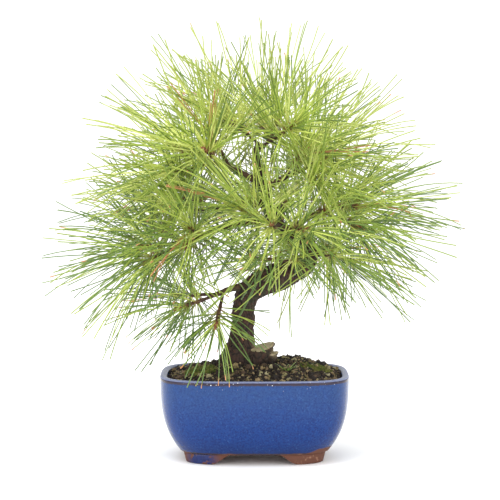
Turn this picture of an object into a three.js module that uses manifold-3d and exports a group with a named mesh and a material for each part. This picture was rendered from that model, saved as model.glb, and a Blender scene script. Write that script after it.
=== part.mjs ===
// A pine bonsai in a glazed ceramic pot: an old bent trunk with its cut stubs, twelve branches, the
// needle tufts on their shoots, the soil with moss and a sprig of grass, and the pot with the mesh
// and the wire clip over each drain hole. Millimetres, +Z up, front towards -Y. The pot stands on
// z = 0, and the finished group is moved so that its bounding box is centred on X and Y.
import * as THREE from "three";
import { mergeVertices } from "three/addons/utils/BufferGeometryUtils.js";
import Module from "manifold-3d";

const wasm = await Module();
wasm.setup();

// ---------------------------------------------------------------- driving dimensions

// Pot
const potWidth = 150;
const potDepth = 115;
const potHeight = 68;
const potWall = 6;
const potFloor = 5;
const baseInset = 16; // the body's lowest edge, above the feet, stands in from the rim this far
const lipBevel = 1.4;
const cornerSquareness = 3.8; // exponent of the plan outline: 2 is an ellipse, more is squarer
const footHeight = 7;
const footWall = 10;
const footInset = 1; // the feet stand in from the body's lowest edge
const footFlat = 18.5; // length of a foot's ground contact along the front
const footOgee = 17; // run of the curved bracket beside it
const sideFootFlat = 13;
const sideFootOgee = 8;
const drainHoleRadius = 6;
const drainHoleSpacing = 54;

// Drain mesh and its wire clip
const meshSize = 20;
const meshThickness = 1;
const meshCells = 4; // even, so that the clip's legs find a cell on both sides of the middle
const meshBar = 1.4;
const clipWire = 1.2;
const clipFlap = 5; // each leg folds out this far over the mesh

// Soil
const soilBelowRim = 3.5; // where it meets the wall
const soilMound = 12; // rise towards the middle
const mossThickness = 3;

// Trunk
const trunkX = -13; // where it leaves the soil, from the pot's middle
const trunkRadius = 9.6;
const apexRadius = 2.8;
const rootFlare = 0.95; // how much wider the foot of the trunk is
const rootFlareHeight = 11;
const rootLobes = 5;
const elbowAt = 0.43; // share of the trunk's length where its first bend is
const elbowSwell = 0.42; // how much thicker the trunk is there

// Branches, twigs and shoots
const branchRadius = 3.6; // where a branch leaves the trunk
const twigRadius = 1.5;
const twigLength = 17;
const shootRadius = 1.4;
const shootBands = 8;
const shootSides = 6;
const shootBandLength = 1.9;
const needleLength = 88;
const needleRadius = 0.9; // clear space kept around each needle's middle line

const gap = 0.3; // between neighbouring pieces
const round = 40; // segments around the pot

// ---------------------------------------------------------------- tools

const UP = new THREE.Vector3(0, 0, 1);
const vec = (x, y, z) => new THREE.Vector3(x, y, z);
const { lerp, degToRad, clamp } = THREE.MathUtils;

// A repeatable random number from -1 to 1.
let seed = 20260;
function chance() {
  seed = (seed * 1664525 + 1013904223) % 4294967296;
  return (seed / 4294967296) * 2 - 1;
}

// A closed geometry from faces that share their vertices.
function closedGeometry(points, faces) {
  const geometry = new THREE.BufferGeometry().setFromPoints(points);
  geometry.setIndex(faces);
  return geometry;
}

// Skins a row of rings, each with the same number of points, and closes both ends with a fan.
// Seen from the last ring, the points run anticlockwise. spikeAt(band, side) may return a point:
// that facet is then drawn out to it.
function skin(rings, spikeAt = () => null) {
  const sides = rings[0].length;
  const points = rings.flat();
  const faces = [];
  const id = (ring, side) => ring * sides + (side % sides);
  for (let ring = 0; ring + 1 < rings.length; ring++) {
    for (let side = 0; side < sides; side++) {
      const facet = [id(ring, side), id(ring, side + 1), id(ring + 1, side + 1), id(ring + 1, side)];
      const tip = spikeAt(ring, side);
      if (tip) {
        facet.forEach((corner, k) => faces.push(corner, facet[(k + 1) % 4], points.length));
        points.push(tip);
      } else {
        faces.push(facet[0], facet[1], facet[2], facet[0], facet[2], facet[3]);
      }
    }
  }
  [rings[0], rings[rings.length - 1]].forEach((ring, end) => {
    const centre = ring.reduce((sum, p) => sum.add(p), vec(0, 0, 0)).divideScalar(sides);
    const first = end ? (rings.length - 1) * sides : 0;
    for (let side = 0; side < sides; side++) {
      const pair = [first + side, first + ((side + 1) % sides)];
      faces.push(points.length, ...(end ? pair : pair.reverse()));
    }
    points.push(centre);
  });
  return closedGeometry(points, faces);
}

// A tube along a curve, with its radius given by radiusAt(share of the length, angle, point).
function taperedTube(curve, steps, sides, radiusAt) {
  const frames = curve.computeFrenetFrames(steps);
  const rings = [];
  for (let step = 0; step <= steps; step++) {
    const share = step / steps;
    const centre = curve.getPointAt(share);
    const ring = [];
    for (let side = 0; side < sides; side++) {
      const angle = (2 * Math.PI * side) / sides;
      const out = frames.normals[step].clone().multiplyScalar(Math.cos(angle));
      out.addScaledVector(frames.binormals[step], Math.sin(angle));
      ring.push(centre.clone().addScaledVector(out, radiusAt(share, angle, centre)));
    }
    rings.push(ring);
  }
  return skin(rings);
}

function solidOf(geometry) {
  const merged = mergeVertices(geometry.deleteAttribute("normal").deleteAttribute("uv"));
  return new wasm.Manifold(
    new wasm.Mesh({
      numProp: 3,
      vertProperties: new Float32Array(merged.getAttribute("position").array),
      triVerts: new Uint32Array(merged.index.array),
    }),
  );
}

function geometryOf(solid) {
  const mesh = solid.getMesh();
  const points = [];
  for (let i = 0; i < mesh.numVert; i++) {
    points.push(vec(...mesh.vertProperties.subarray(i * mesh.numProp, i * mesh.numProp + 3)));
  }
  return closedGeometry(points, Array.from(mesh.triVerts));
}

// An outline of X and Z pushed along Y, to equal lengths on both sides of y = 0.
function prismAlongY(outline, length) {
  const geometry = new THREE.ExtrudeGeometry(new THREE.Shape(outline), {
    depth: length,
    bevelEnabled: false,
  });
  return solidOf(geometry.rotateX(Math.PI / 2).translate(0, length / 2, 0));
}

// A block centred on x and y that stands on z.
function block(width, depth, height, x, y, z) {
  return solidOf(new THREE.BoxGeometry(width, depth, height).translate(x, y, z + height / 2));
}

// A vertical cylinder between two heights.
function post(radius, low, high, x, y) {
  const geometry = new THREE.CylinderGeometry(radius, radius, high - low, 16).rotateX(Math.PI / 2);
  return solidOf(geometry.translate(x, y, (low + high) / 2));
}

// ---------------------------------------------------------------- materials

const finish = (color, roughness) => new THREE.MeshStandardMaterial({ color, roughness, metalness: 0 });
const materials = {
  glaze: finish(0x3b5c9c, 0.18),
  soil: finish(0x3a3128, 0.95),
  bark: finish(0x4a3a30, 0.9),
  needles: finish(0x86a845, 0.45),
  moss: finish(0x6f7f35, 0.95),
  plastic: finish(0x1c1c1c, 0.5),
  wire: new THREE.MeshStandardMaterial({ color: 0xa8a8ac, roughness: 0.35, metalness: 1 }),
};

const tree = new THREE.Group();
function add(name, geometry, material) {
  geometry.computeVertexNormals();
  const mesh = new THREE.Mesh(geometry, material);
  mesh.name = name;
  tree.add(mesh);
}

// ---------------------------------------------------------------- pot

const depthLoss = (potWidth - potDepth) / 2; // the half depth is the half width less this

// One point of the pot's plan outline with the given half width, at an angle.
function planPoint(halfWidth, angle, z) {
  const halfDepth = halfWidth - depthLoss;
  const power = 2 / cornerSquareness;
  const bend = (value) => Math.sign(value) * Math.abs(value) ** power;
  return vec(halfWidth * bend(Math.cos(angle)), halfDepth * bend(Math.sin(angle)), z);
}

function planRing(halfWidth, z, shrink = 1) {
  return Array.from({ length: round }, (_, k) => {
    const p = planPoint(halfWidth, (2 * Math.PI * (k + 0.5)) / round, z);
    return vec(p.x * shrink, p.y * shrink, z);
  });
}

// Half width of the pot's outside at a height: it swells quickly above the feet, then stands up.
function bodyHalfWidth(z) {
  const share = clamp((z - footHeight) / (potHeight - footHeight), 0, 1);
  return potWidth / 2 - baseInset * (1 - share) ** 3;
}

const floorTop = footHeight + potFloor;
const insideHalfWidth = (z) => bodyHalfWidth(z) - potWall;
const bodyHeights = [0, 0.06, 0.14, 0.25, 0.4, 0.58, 0.78].map((share) =>
  lerp(footHeight, potHeight - lipBevel, share),
);

function potBody() {
  const rings = bodyHeights.map((z) => planRing(bodyHalfWidth(z), z));
  rings.push(planRing(potWidth / 2, potHeight - lipBevel));
  rings.push(planRing(potWidth / 2 - lipBevel, potHeight));
  return solidOf(skin(rings));
}

function potHollow() {
  const fillet = potWall;
  const rings = [planRing(insideHalfWidth(floorTop) - fillet, floorTop)];
  [0.1, 0.2, 0.36, 0.56, 0.78].forEach((share) => {
    const z = lerp(floorTop, potHeight, share);
    rings.push(planRing(insideHalfWidth(z), z));
  });
  rings.push(planRing(potWidth / 2 - potWall, potHeight + 1));
  return solidOf(skin(rings));
}

// The outline of the space between two feet: upright at the ground, then a bracket curve.
function archOutline(halfSpan, ogee) {
  const top = footHeight;
  const side = new THREE.QuadraticBezierCurve(
    new THREE.Vector2(halfSpan - ogee * 0.25, top * 0.55),
    new THREE.Vector2(halfSpan - ogee * 0.4, top),
    new THREE.Vector2(halfSpan - ogee, top),
  );
  const foot = [new THREE.Vector2(halfSpan, -1), new THREE.Vector2(halfSpan, 0)];
  const right = [...foot, ...side.getPoints(3)];
  const left = right.map((p) => new THREE.Vector2(-p.x, p.y)).reverse();
  return [...right, ...left];
}

function potFeet() {
  const outer = potWidth / 2 - baseInset - footInset;
  const skirt = solidOf(skin([planRing(outer - 1.5, 0), planRing(outer, footHeight + 1)]));
  const inside = solidOf(skin([planRing(outer - footWall, -1), planRing(outer - footWall, footHeight)]));
  const front = prismAlongY(archOutline(outer - footFlat - 1.5, footOgee), potDepth);
  const side = prismAlongY(archOutline(outer - depthLoss - sideFootFlat - 1.5, sideFootOgee), potWidth);
  return skirt.subtract(inside).subtract(front).subtract(side.rotate([0, 0, 90]));
}

const drainHoles = [-drainHoleSpacing / 2, drainHoleSpacing / 2];
let pot = potBody().add(potFeet()).subtract(potHollow());
drainHoles.forEach((x) => {
  pot = pot.subtract(post(drainHoleRadius, footHeight - 1, floorTop + 1, x, 0));
});
add("pot", geometryOf(pot), materials.glaze);

// ---------------------------------------------------------------- drain mesh and clips

const meshBottom = floorTop + gap;
const meshTop = meshBottom + meshThickness;
const cellPitch = (meshSize - meshBar) / meshCells;

function drainMesh(x) {
  let sheet = block(meshSize, meshSize, meshThickness, x, 0, meshBottom);
  const first = (-cellPitch * (meshCells - 1)) / 2;
  for (let column = 0; column < meshCells; column++) {
    for (let row = 0; row < meshCells; row++) {
      const cell = cellPitch - meshBar;
      const at = [x + first + column * cellPitch, first + row * cellPitch];
      sheet = sheet.subtract(block(cell, cell, meshThickness + 2, ...at, meshBottom - 1));
    }
  }
  return sheet;
}

// The clip is one wire of square section: a bridge under the mesh, inside the drain hole, a leg up
// through a mesh cell at each end, and the end of each leg folded out over the mesh.
function meshClip(x) {
  const low = meshBottom - gap - clipWire;
  const high = meshTop + gap;
  const legs = cellPitch / 2;
  const row = cellPitch / 2;
  let wire = block(2 * legs + clipWire, clipWire, clipWire, x, row, low);
  [-1, 1].forEach((side) => {
    const leg = block(clipWire, clipWire, high + clipWire - low, x + side * legs, row, low);
    const flap = block(clipFlap, clipWire, clipWire, x + side * (legs + clipFlap / 2), row, high);
    wire = wire.add(leg).add(flap);
  });
  return wire;
}

["left", "right"].forEach((side, k) => {
  add("drain_mesh_" + side, geometryOf(drainMesh(drainHoles[k])), materials.plastic);
  add("mesh_clip_" + side, geometryOf(meshClip(drainHoles[k])), materials.wire);
});

// ---------------------------------------------------------------- trunk

const soilEdge = potHeight - soilBelowRim;
const soilInside = potWidth / 2 - potWall - gap;
const soilInsideDepth = soilInside - depthLoss;

// Height of the soil at a place inside the pot: highest in the middle, level with the wall's edge.
function soilHeight(x, y) {
  const n = cornerSquareness;
  const share = (Math.abs(x / soilInside) ** n + Math.abs(y / soilInsideDepth) ** n) ** (1 / n);
  return soilEdge + soilMound * Math.max(0, 1 - share ** 1.8);
}

// The trunk's middle line, from inside the soil to the apex: up, a hard bend to the right, back
// over itself to the left, then up again. X, Y and Z from the point where it leaves the soil.
const soilAtTrunk = soilHeight(trunkX, 0);
const trunkStops = [
  [-1, 1, -22],
  [0, 0, 0],
  [3, 0, 14],
  [4, 0, 28],
  [4, -1, 42],
  [9, -3, 56],
  [19, -5, 64],
  [34, -5, 69],
  [49, -3, 75],
  [58, 0, 84],
  [55, 3, 94],
  [44, 5, 100],
  [33, 6, 107],
  [25, 5, 120],
  [20, 3, 136],
  [16, 1, 153],
  [14, 0, 165],
  [16, 0, 175],
].map(([x, y, z]) => vec(trunkX + x, y, soilAtTrunk + z));
const trunkLine = new THREE.CatmullRomCurve3(trunkStops, false, "centripetal");

function trunkTaper(share) {
  const swell = Math.exp(-(((share - elbowAt) / 0.11) ** 2));
  return lerp(trunkRadius, apexRadius, share ** 1.5) * (1 + elbowSwell * swell);
}

function trunkRadiusAt(share, angle, centre) {
  const nearRoots = Math.exp(-Math.max(0, centre.z - soilAtTrunk) / rootFlareHeight);
  const lobe = 0.72 + 0.28 * Math.cos(rootLobes * angle);
  return trunkTaper(share) * (1 + rootFlare * nearRoots * lobe);
}

// Stubs left where two thick roots were sawn off at a slant: where each starts, the middle of its
// sawn face and its radius, all from the foot of the trunk.
const stubs = [
  { from: vec(14, -4, -8), face: vec(19.3, -7, 12.9), radius: 9.2 },
  { from: vec(22, -7, -8), face: vec(27.3, -9, 7.8), radius: 4.6 },
];
const sawnTowards = vec(-0.28, -0.18, 0.94).normalize();

function cutStub({ from, face, radius }, room = 0) {
  const foot = vec(trunkX, 0, soilAtTrunk);
  const low = from.clone().add(foot).addScaledVector(UP, -room);
  const middle = face.clone().add(foot);
  const line = new THREE.LineCurve3(low, middle.clone().lerp(low, -0.4));
  const radiusAt = (share) => lerp(radius * 1.2, radius, share) + room;
  const whole = solidOf(taperedTube(line, 1, 12, radiusAt));
  return whole.trimByPlane(sawnTowards.clone().negate().toArray(), -sawnTowards.dot(middle));
}

const trunkSides = 12;
const trunkSteps = 30;
let trunk = solidOf(taperedTube(trunkLine, trunkSteps, trunkSides, trunkRadiusAt));
const trunkWithGap = solidOf(
  taperedTube(trunkLine, trunkSteps, trunkSides, (...at) => trunkRadiusAt(...at) + gap),
);
stubs.forEach((stub) => {
  trunk = trunk.add(cutStub(stub));
});
add("trunk", geometryOf(trunk), materials.bark);

// ---------------------------------------------------------------- soil, moss and grass

function soilMass() {
  const rings = [];
  const sink = floorTop + gap;
  rings.push(planRing(insideHalfWidth(sink) - potWall - gap, sink));
  [0.1, 0.2, 0.36, 0.56, 0.78, 1].forEach((share) => {
    const z = lerp(floorTop, soilEdge, share);
    rings.push(planRing(insideHalfWidth(z) - 2 * gap, z));
  });
  [0.86, 0.68, 0.5, 0.34, 0.18].forEach((share) => {
    rings.push(
      planRing(insideHalfWidth(soilEdge) - 2 * gap, 0, share).map((p) => p.setZ(soilHeight(p.x, p.y))),
    );
  });
  return solidOf(skin(rings));
}

// The trunk's buried part, grown by the gap, shapes the hole that it fills in the soil.
const rootHole = stubs.reduce(
  (hole, stub) => hole.add(cutStub(stub, 2 * gap)),
  solidOf(
    taperedTube(
      new THREE.CatmullRomCurve3(
        [trunkStops[0].clone().add(vec(0, 0, -gap)), ...trunkStops.slice(1)],
        false,
        "centripetal",
      ),
      trunkSteps,
      trunkSides,
      (...at) => trunkRadiusAt(...at) + 2 * gap,
    ),
  ),
);
const wholeSoil = soilMass();
let soil = wholeSoil.subtract(rootHole);
drainHoles.forEach((x) => {
  const recess = meshSize + 2 * gap;
  soil = soil.subtract(block(recess, recess, meshTop + clipWire + 2 * gap - floorTop, x, 0, floorTop));
});
add("soil", geometryOf(soil), materials.soil);

// A cushion of moss lying on the soil: a low dome, cut by the soil and by the trunk.
function mossCushion(x, y, halfLength, halfWidth) {
  const dome = [0.98, 1, 0.8, 0.45].map((size, level) => {
    const z = soilHeight(x, y) + [-4, 0, 0.65, 0.95][level] * mossThickness;
    return Array.from({ length: 14 }, (_, k) => {
      const angle = (2 * Math.PI * k) / 14;
      const px = x + halfLength * size * Math.cos(angle);
      const py = y + halfWidth * size * Math.sin(angle);
      const drop = soilHeight(px, py) - soilHeight(x, y);
      return vec(px, py, z + drop);
    });
  });
  return solidOf(skin(dome)).subtract(wholeSoil.translate([0, 0, gap])).subtract(rootHole);
}

add("moss_left", geometryOf(mossCushion(-42, -24, 14, 9)), materials.moss);
add("moss_right", geometryOf(mossCushion(48, -8, 14, 15)), materials.moss);

// ---------------------------------------------------------------- clear space for what grows

// Everything that a needle has to miss, as round bars: from, to, radius and the tuft it belongs to.
const bars = [];

function addBars(curve, count, radiusAt, owner = null) {
  const points = curve.getSpacedPoints(count);
  points.slice(1).forEach((to, k) => {
    bars.push({ from: points[k], to, radius: radiusAt((k + 0.5) / count), owner });
  });
}

// Shortest distance between two straight bars' middle lines.
function barDistance(p, q, r, s) {
  const d1 = q.clone().sub(p);
  const d2 = s.clone().sub(r);
  const between = p.clone().sub(r);
  const a = d1.dot(d1);
  const e = d2.dot(d2);
  const b = d1.dot(d2);
  const c = d1.dot(between);
  const f = d2.dot(between);
  const det = a * e - b * b;
  let along = det > 1e-9 ? clamp((b * f - c * e) / det, 0, 1) : 0;
  let across = clamp((b * along + f) / e, 0, 1);
  along = clamp((b * across - c) / a, 0, 1);
  return p.clone().addScaledVector(d1, along).distanceTo(r.clone().addScaledVector(d2, across));
}

// True where a needle would run into the pot, the soil or the ground.
function hitsPot(from, to) {
  for (let share = 0.1; share <= 1; share += 0.05) {
    const p = from.clone().lerp(to, share);
    if (p.z < 4) return true;
    const clear = 3;
    const n = cornerSquareness;
    const halfWidth = bodyHalfWidth(Math.min(p.z, potHeight)) + clear;
    const halfDepth = halfWidth - depthLoss;
    const over = Math.abs(p.x / halfWidth) ** n + Math.abs(p.y / halfDepth) ** n < 1;
    if (over && p.z < Math.max(potHeight, soilHeight(p.x, p.y)) + clear) return true;
  }
  return false;
}

function isClear(from, to, owner, wasPlaced) {
  if (hitsPot(from, to)) return false;
  return bars.every((bar) => {
    if (bar.owner === owner && !bar.needle) return true;
    const start = bar.owner === owner ? from.clone().lerp(to, 0.12) : from;
    const room = bar.radius + needleRadius + gap;
    return barDistance(start, to, bar.from, bar.to) > room;
  });
}

addBars(trunkLine, 40, (share) => trunkTaper(share) + 0.5);

// ---------------------------------------------------------------- branches

// Where each branch leaves the trunk (share of its length), which way it goes (0 is right, 90 is
// back, 180 is left, 270 is front), how far it reaches, how much it rises, and the side twigs as
// [share of the branch, turn from it, rise of the twig], one shoot each, with one more at its end.
// The lowest ones grow weaker: fill is the share of the needles that they carry, and vigour their
// length against the others.
const branches = [
  { name: "low_left", at: 0.36, bearing: 200, reach: 47, rise: -11, tip: -16, twigs: [[0.6, 58, -42], [0.72, -48, -4]], fill: 0.75, vigour: 0.74 },
  { name: "mid_left", at: 0.74, bearing: 186, reach: 88, rise: -20, tip: -6, twigs: [[0.6, 55, -14], [0.68, 75, 14], [0.8, -55, 15], [0.8, 18, -26]] },
  { name: "upper_left", at: 0.86, bearing: 183, reach: 50, rise: 22, tip: 25, twigs: [[0.5, -20, 58], [0.6, 60, 22], [0.75, 12, -12]] },
  { name: "low_right", at: 0.56, bearing: -15, reach: 13, rise: 1, tip: -12, twigs: [[0.6, -62, 2]], fill: 0.8, vigour: 0.82 },
  { name: "mid_right", at: 0.68, bearing: -8, reach: 40, rise: 20, tip: 4, twigs: [[0.6, -70, 8], [0.7, 50, 12], [0.75, -25, -20]] },
  { name: "upper_right", at: 0.84, bearing: 4, reach: 38, rise: 20, tip: 34, twigs: [[0.42, -55, 40], [0.62, 50, 32], [0.8, -75, -16]] },
  { name: "front", at: 0.7, bearing: 262, reach: 44, rise: 4, tip: 10, twigs: [[0.6, -50, 25], [0.75, 50, 0]] },
  { name: "front_low", at: 0.47, bearing: 275, reach: 18, rise: 14, tip: -5, twigs: [[0.6, -70, 5]], fill: 0.6, vigour: 0.8 },
  { name: "back", at: 0.72, bearing: 84, reach: 46, rise: 14, tip: 15, twigs: [[0.65, 50, 15]] },
  { name: "back_low", at: 0.5, bearing: 60, reach: 40, rise: 12, tip: 0, twigs: [[0.7, 55, 8]], vigour: 0.9 },
  { name: "back_left", at: 0.79, bearing: 166, reach: 66, rise: -4, tip: 4, twigs: [[0.6, 46, 10], [0.7, -48, 12]] },
  { name: "apex", at: 0.965, bearing: 20, reach: 12, rise: 10, tip: 68, twigs: [[0.5, 140, 36], [0.7, -66, 26], [0.85, 80, 32]] },
];

// A direction from a bearing and a rise, both in degrees.
function heading(bearing, rise) {
  const flat = Math.cos(degToRad(rise));
  return vec(flat * Math.cos(degToRad(bearing)), flat * Math.sin(degToRad(bearing)), Math.sin(degToRad(rise)));
}

const shootLength = shootBands * shootBandLength;
const shoots = [];

function growBranch({ name, at, bearing, reach, rise, tip, twigs, fill = 1, vigour = 1 }, order) {
  const start = trunkLine.getPointAt(at);
  const out = heading(bearing, 0);
  const sway = heading(bearing + 90, 0).multiplyScalar(reach * 0.12 * (order % 2 ? 1 : -1));
  const end = start.clone().addScaledVector(out, reach).addScaledVector(UP, rise);
  const middle = start.clone().lerp(end, 0.4).add(sway).addScaledVector(UP, reach * 0.1);
  const axis = heading(bearing, tip);
  const nearEnd = end.clone().addScaledVector(axis, -reach * 0.3);
  const line = new THREE.CubicBezierCurve3(start, middle, nearEnd, end);
  const thick = Math.min(branchRadius, 0.75 * trunkTaper(at));
  const radiusAt = (share) => lerp(thick, twigRadius, share);
  let solid = solidOf(taperedTube(line, 7, 7, radiusAt));
  addBars(line, 8, radiusAt);
  shoots.push({ name: name + "_1", base: end, axis, fill, vigour });
  twigs.forEach(([share, turn, lift], k) => {
    const from = line.getPointAt(share);
    const twigAxis = heading(bearing + turn, lift);
    const to = from.clone().addScaledVector(twigAxis, twigLength);
    const twig = new THREE.LineCurve3(from, to);
    solid = solid.add(solidOf(taperedTube(twig, 1, 6, () => twigRadius)));
    addBars(twig, 2, () => twigRadius);
    shoots.push({ name: name + "_" + (k + 2), base: to, axis: twigAxis, fill, vigour });
  });
  add("branch_" + name, geometryOf(solid.subtract(trunkWithGap)), materials.bark);
}

branches.forEach(growBranch);

// ---------------------------------------------------------------- needle tufts

// Frame of a shoot: its axis and two directions across it.
function across(axis) {
  const side = vec(0, 0, 1).cross(axis);
  if (side.length() < 0.1) side.set(1, 0, 0);
  side.normalize();
  return [side, axis.clone().cross(side).normalize()];
}

shoots.forEach((shoot) => {
  shoot.base = shoot.base.clone().addScaledVector(shoot.axis, gap);
  const line = new THREE.LineCurve3(
    shoot.base,
    shoot.base.clone().addScaledVector(shoot.axis, shootLength),
  );
  addBars(line, 1, () => shootRadius + 0.4, shoot.name);
});

// One tuft: a thin shoot with a bud at its end. Every second facet of the shoot is drawn out into
// a needle, spread wide at the foot of the shoot and close at its tip. A needle that would touch
// something is turned a little, and left out if it still would.
function needleTuft({ name, base, axis, fill, vigour }, form) {
  const { sides, bands, step, radius, length, wide, narrow, sag } = form;
  const [side, other] = across(axis);
  const outAt = (angle) =>
    side.clone().multiplyScalar(Math.cos(angle)).addScaledVector(other, Math.sin(angle));
  const rings = [];
  for (let ring = 0; ring <= bands; ring++) {
    const centre = base.clone().addScaledVector(axis, ring * step);
    const swell = radius * (ring === bands ? 0.55 : 1);
    rings.push(
      Array.from({ length: sides }, (_, k) =>
        centre.clone().addScaledVector(outAt((2 * Math.PI * k) / sides), swell),
      ),
    );
  }
  return skin(rings, (band, k) => {
    if ((band + k) % 2 || chance() > 2 * fill - 1) return null;
    const share = band / (bands - 1);
    const foot = base.clone().addScaledVector(axis, (band + 0.5) * step);
    for (let turn = 0; turn < 14; turn++) {
      const loose = 3 + 1.6 * turn;
      const spread = degToRad(lerp(wide, narrow, share) + loose * chance());
      const angle = (2 * Math.PI * (k + 0.5)) / sides + degToRad(loose) * chance();
      const reach = length * vigour * (1 + 0.13 * chance()) * (turn > 9 ? 0.75 : 1);
      const along = axis.clone().multiplyScalar(Math.cos(spread));
      along.addScaledVector(outAt(angle), Math.sin(spread));
      const tip = foot.clone().addScaledVector(along, reach);
      tip.z -= sag * reach * (1 - Math.abs(along.z));
      const from = foot.clone().addScaledVector(outAt(angle), radius);
      if (isClear(from, tip, name)) {
        bars.push({ from, to: tip, radius: needleRadius, owner: name, needle: true });
        return tip;
      }
    }
    return null;
  });
}

const pineTuft = {
  sides: shootSides,
  bands: shootBands,
  step: shootBandLength,
  radius: shootRadius,
  length: needleLength,
  wide: 78,
  narrow: 10,
  sag: 0.05,
};
shoots.forEach((shoot) => {
  add("needles_" + shoot.name, needleTuft(shoot, pineTuft), materials.needles);
});

// A sprig of grass that has seeded itself in the soil.
const sprigAt = vec(24, -30, 0);
const sprig = {
  name: "grass",
  base: sprigAt.setZ(soilHeight(sprigAt.x, sprigAt.y) + 2 * gap),
  axis: UP.clone(),
  fill: 1,
  vigour: 1,
};
const grassTuft = {
  sides: 6,
  bands: 2,
  step: 1.2,
  radius: 1,
  length: 14,
  wide: 62,
  narrow: 35,
  sag: 0,
};
add("grass_sprig", needleTuft(sprig, grassTuft), materials.moss);

// ---------------------------------------------------------------- origin

const whole = new THREE.Box3().setFromObject(tree);
const middle = whole.getCenter(vec(0, 0, 0));
tree.position.set(-middle.x, -middle.y, -whole.min.z);

export default tree;
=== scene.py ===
"""Pine bonsai in a glazed pot: the finished surfaces, built on the part's fixed frame."""

import math
import random

import bmesh
import bpy
import numpy as np
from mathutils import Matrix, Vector, noise
from mathutils.bvhtree import BVHTree


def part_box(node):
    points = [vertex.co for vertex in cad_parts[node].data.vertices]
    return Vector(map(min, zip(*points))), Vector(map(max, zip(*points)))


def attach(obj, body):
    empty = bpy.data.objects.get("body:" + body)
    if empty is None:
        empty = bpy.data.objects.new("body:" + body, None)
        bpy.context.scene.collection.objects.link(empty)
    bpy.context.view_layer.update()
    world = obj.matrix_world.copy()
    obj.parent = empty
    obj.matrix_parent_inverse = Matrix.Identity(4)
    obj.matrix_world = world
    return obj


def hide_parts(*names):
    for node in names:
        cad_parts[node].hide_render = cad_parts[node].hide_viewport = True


bl_info = {
    "name": "Pine bonsai in a glazed pot",
    "version": (1, 0, 0),
    "blender": (4, 5, 0),
    "location": "View3D > Sidebar > Bonsai",
    "description": "Builds the pot, soil, moss, wood and needle tufts on the part's frame",
    "category": "Object",
}

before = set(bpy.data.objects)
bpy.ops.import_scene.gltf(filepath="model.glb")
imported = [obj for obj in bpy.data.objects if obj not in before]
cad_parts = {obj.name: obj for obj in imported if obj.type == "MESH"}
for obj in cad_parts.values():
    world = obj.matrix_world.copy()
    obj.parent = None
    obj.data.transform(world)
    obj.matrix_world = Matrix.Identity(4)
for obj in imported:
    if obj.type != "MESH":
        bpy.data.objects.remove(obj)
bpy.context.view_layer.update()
POT_LOW, POT_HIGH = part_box("pot")
POT_MIDDLE = (POT_LOW + POT_HIGH) / 2
TUFTS = sorted(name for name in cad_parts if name.startswith("needles_"))
WOODEN = ["trunk"] + sorted(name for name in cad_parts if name.startswith("branch_"))
MM = 0.001

# Drain holes: millimetres to the left and right of the pot's middle, and their radius.
DRAIN_PLACES = (-27, 27)
DRAIN_RADIUS = 6 * MM
# Feet: wall of the foot ring, length of a foot with its curved end, and length of that end.
FOOT_WALL = 10 * MM
FOOT_FRONT, FOOT_SIDE = 24 * MM, 32 * MM
OGEE_FRONT, OGEE_SIDE = 16 * MM, 8 * MM
# Shoots: rings of the bare part, and points around every ring.
SHOOT_RINGS, SHOOT_SIDES = 15, 9
# Tufts without shorter inner pairs, and tufts of the crown, with more of them than the others.
SPARSE_TUFTS = ("needles_front_low", "needles_low_right")
CROWN_TUFTS = ("needles_apex", "needles_upper", "needles_back")
CROWN_TUFTS += ("needles_front_2", "needles_front_3")
FLOOR_RADIUS = 9


# ---------------------------------------------------------------- small tools


def srgb(red, green, blue):
    """A colour given as screen values from 0 to 255, in linear light."""
    linear = []
    for value in (red, green, blue):
        share = value / 255
        low = share <= 0.04045
        linear.append(share / 12.92 if low else ((share + 0.055) / 1.055) ** 2.4)
    return (*linear, 1.0)


def colour_of(values):
    """A colour property as the four numbers that a socket takes."""
    return (*values[:3], 1.0)


def smooth_step(low, high, value):
    """0 below low, 1 above high, and a smooth rise between them."""
    share = np.clip((value - low) / (high - low), 0, 1)
    return share * share * (3 - 2 * share)


def from_pot(x, y, z):
    """A place given in millimetres from the middle of the pot's foot, in the part's frame."""
    return Vector((POT_MIDDLE.x + x * MM, POT_MIDDLE.y + y * MM, z * MM))


class Value:
    """A node's output that Python's operators work on. Each operator adds one Math node."""

    def __init__(self, graph, socket):
        self.graph = graph
        self.socket = socket

    def math(self, operation, *values):
        inputs = dict(enumerate((self, *values)))
        return self.graph.value("ShaderNodeMath", {"operation": operation}, inputs)

    def __add__(self, other):
        return self.math("ADD", other)

    def __sub__(self, other):
        return self.math("SUBTRACT", other)

    def __rsub__(self, other):
        return self.math("MULTIPLY_ADD", -1.0, other)

    def __mul__(self, other):
        return self.math("MULTIPLY", other)

    def __pow__(self, other):
        return self.math("POWER", other)

    def __gt__(self, other):
        return self.math("GREATER_THAN", other)

    __radd__ = __add__
    __rmul__ = __mul__

    def most(self, other):
        return self.math("MAXIMUM", other)


class Graph:
    """A node tree that is being built."""

    def __init__(self, tree):
        self.tree = tree

    def node(self, kind, settings=None, inputs=None):
        """Adds a node, makes its settings, then fills its sockets with values or links."""
        node = self.tree.nodes.new(kind)
        for name, setting in (settings or {}).items():
            if name == "stops":
                ramp = node.color_ramp.elements
                while len(ramp) < len(setting):
                    ramp.new(1.0)
                for stop, (position, colour) in zip(ramp, setting):
                    stop.position = position
                    stop.color = colour
            else:
                setattr(node, name, setting)
        for name, value in (inputs or {}).items():
            socket = node.inputs[name]
            if isinstance(value, Value):
                self.tree.links.new(value.socket, socket)
            else:
                socket.default_value = value
        return node

    def value(self, kind, settings=None, inputs=None, output=0):
        return Value(self, self.node(kind, settings, inputs).outputs[output])


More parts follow.
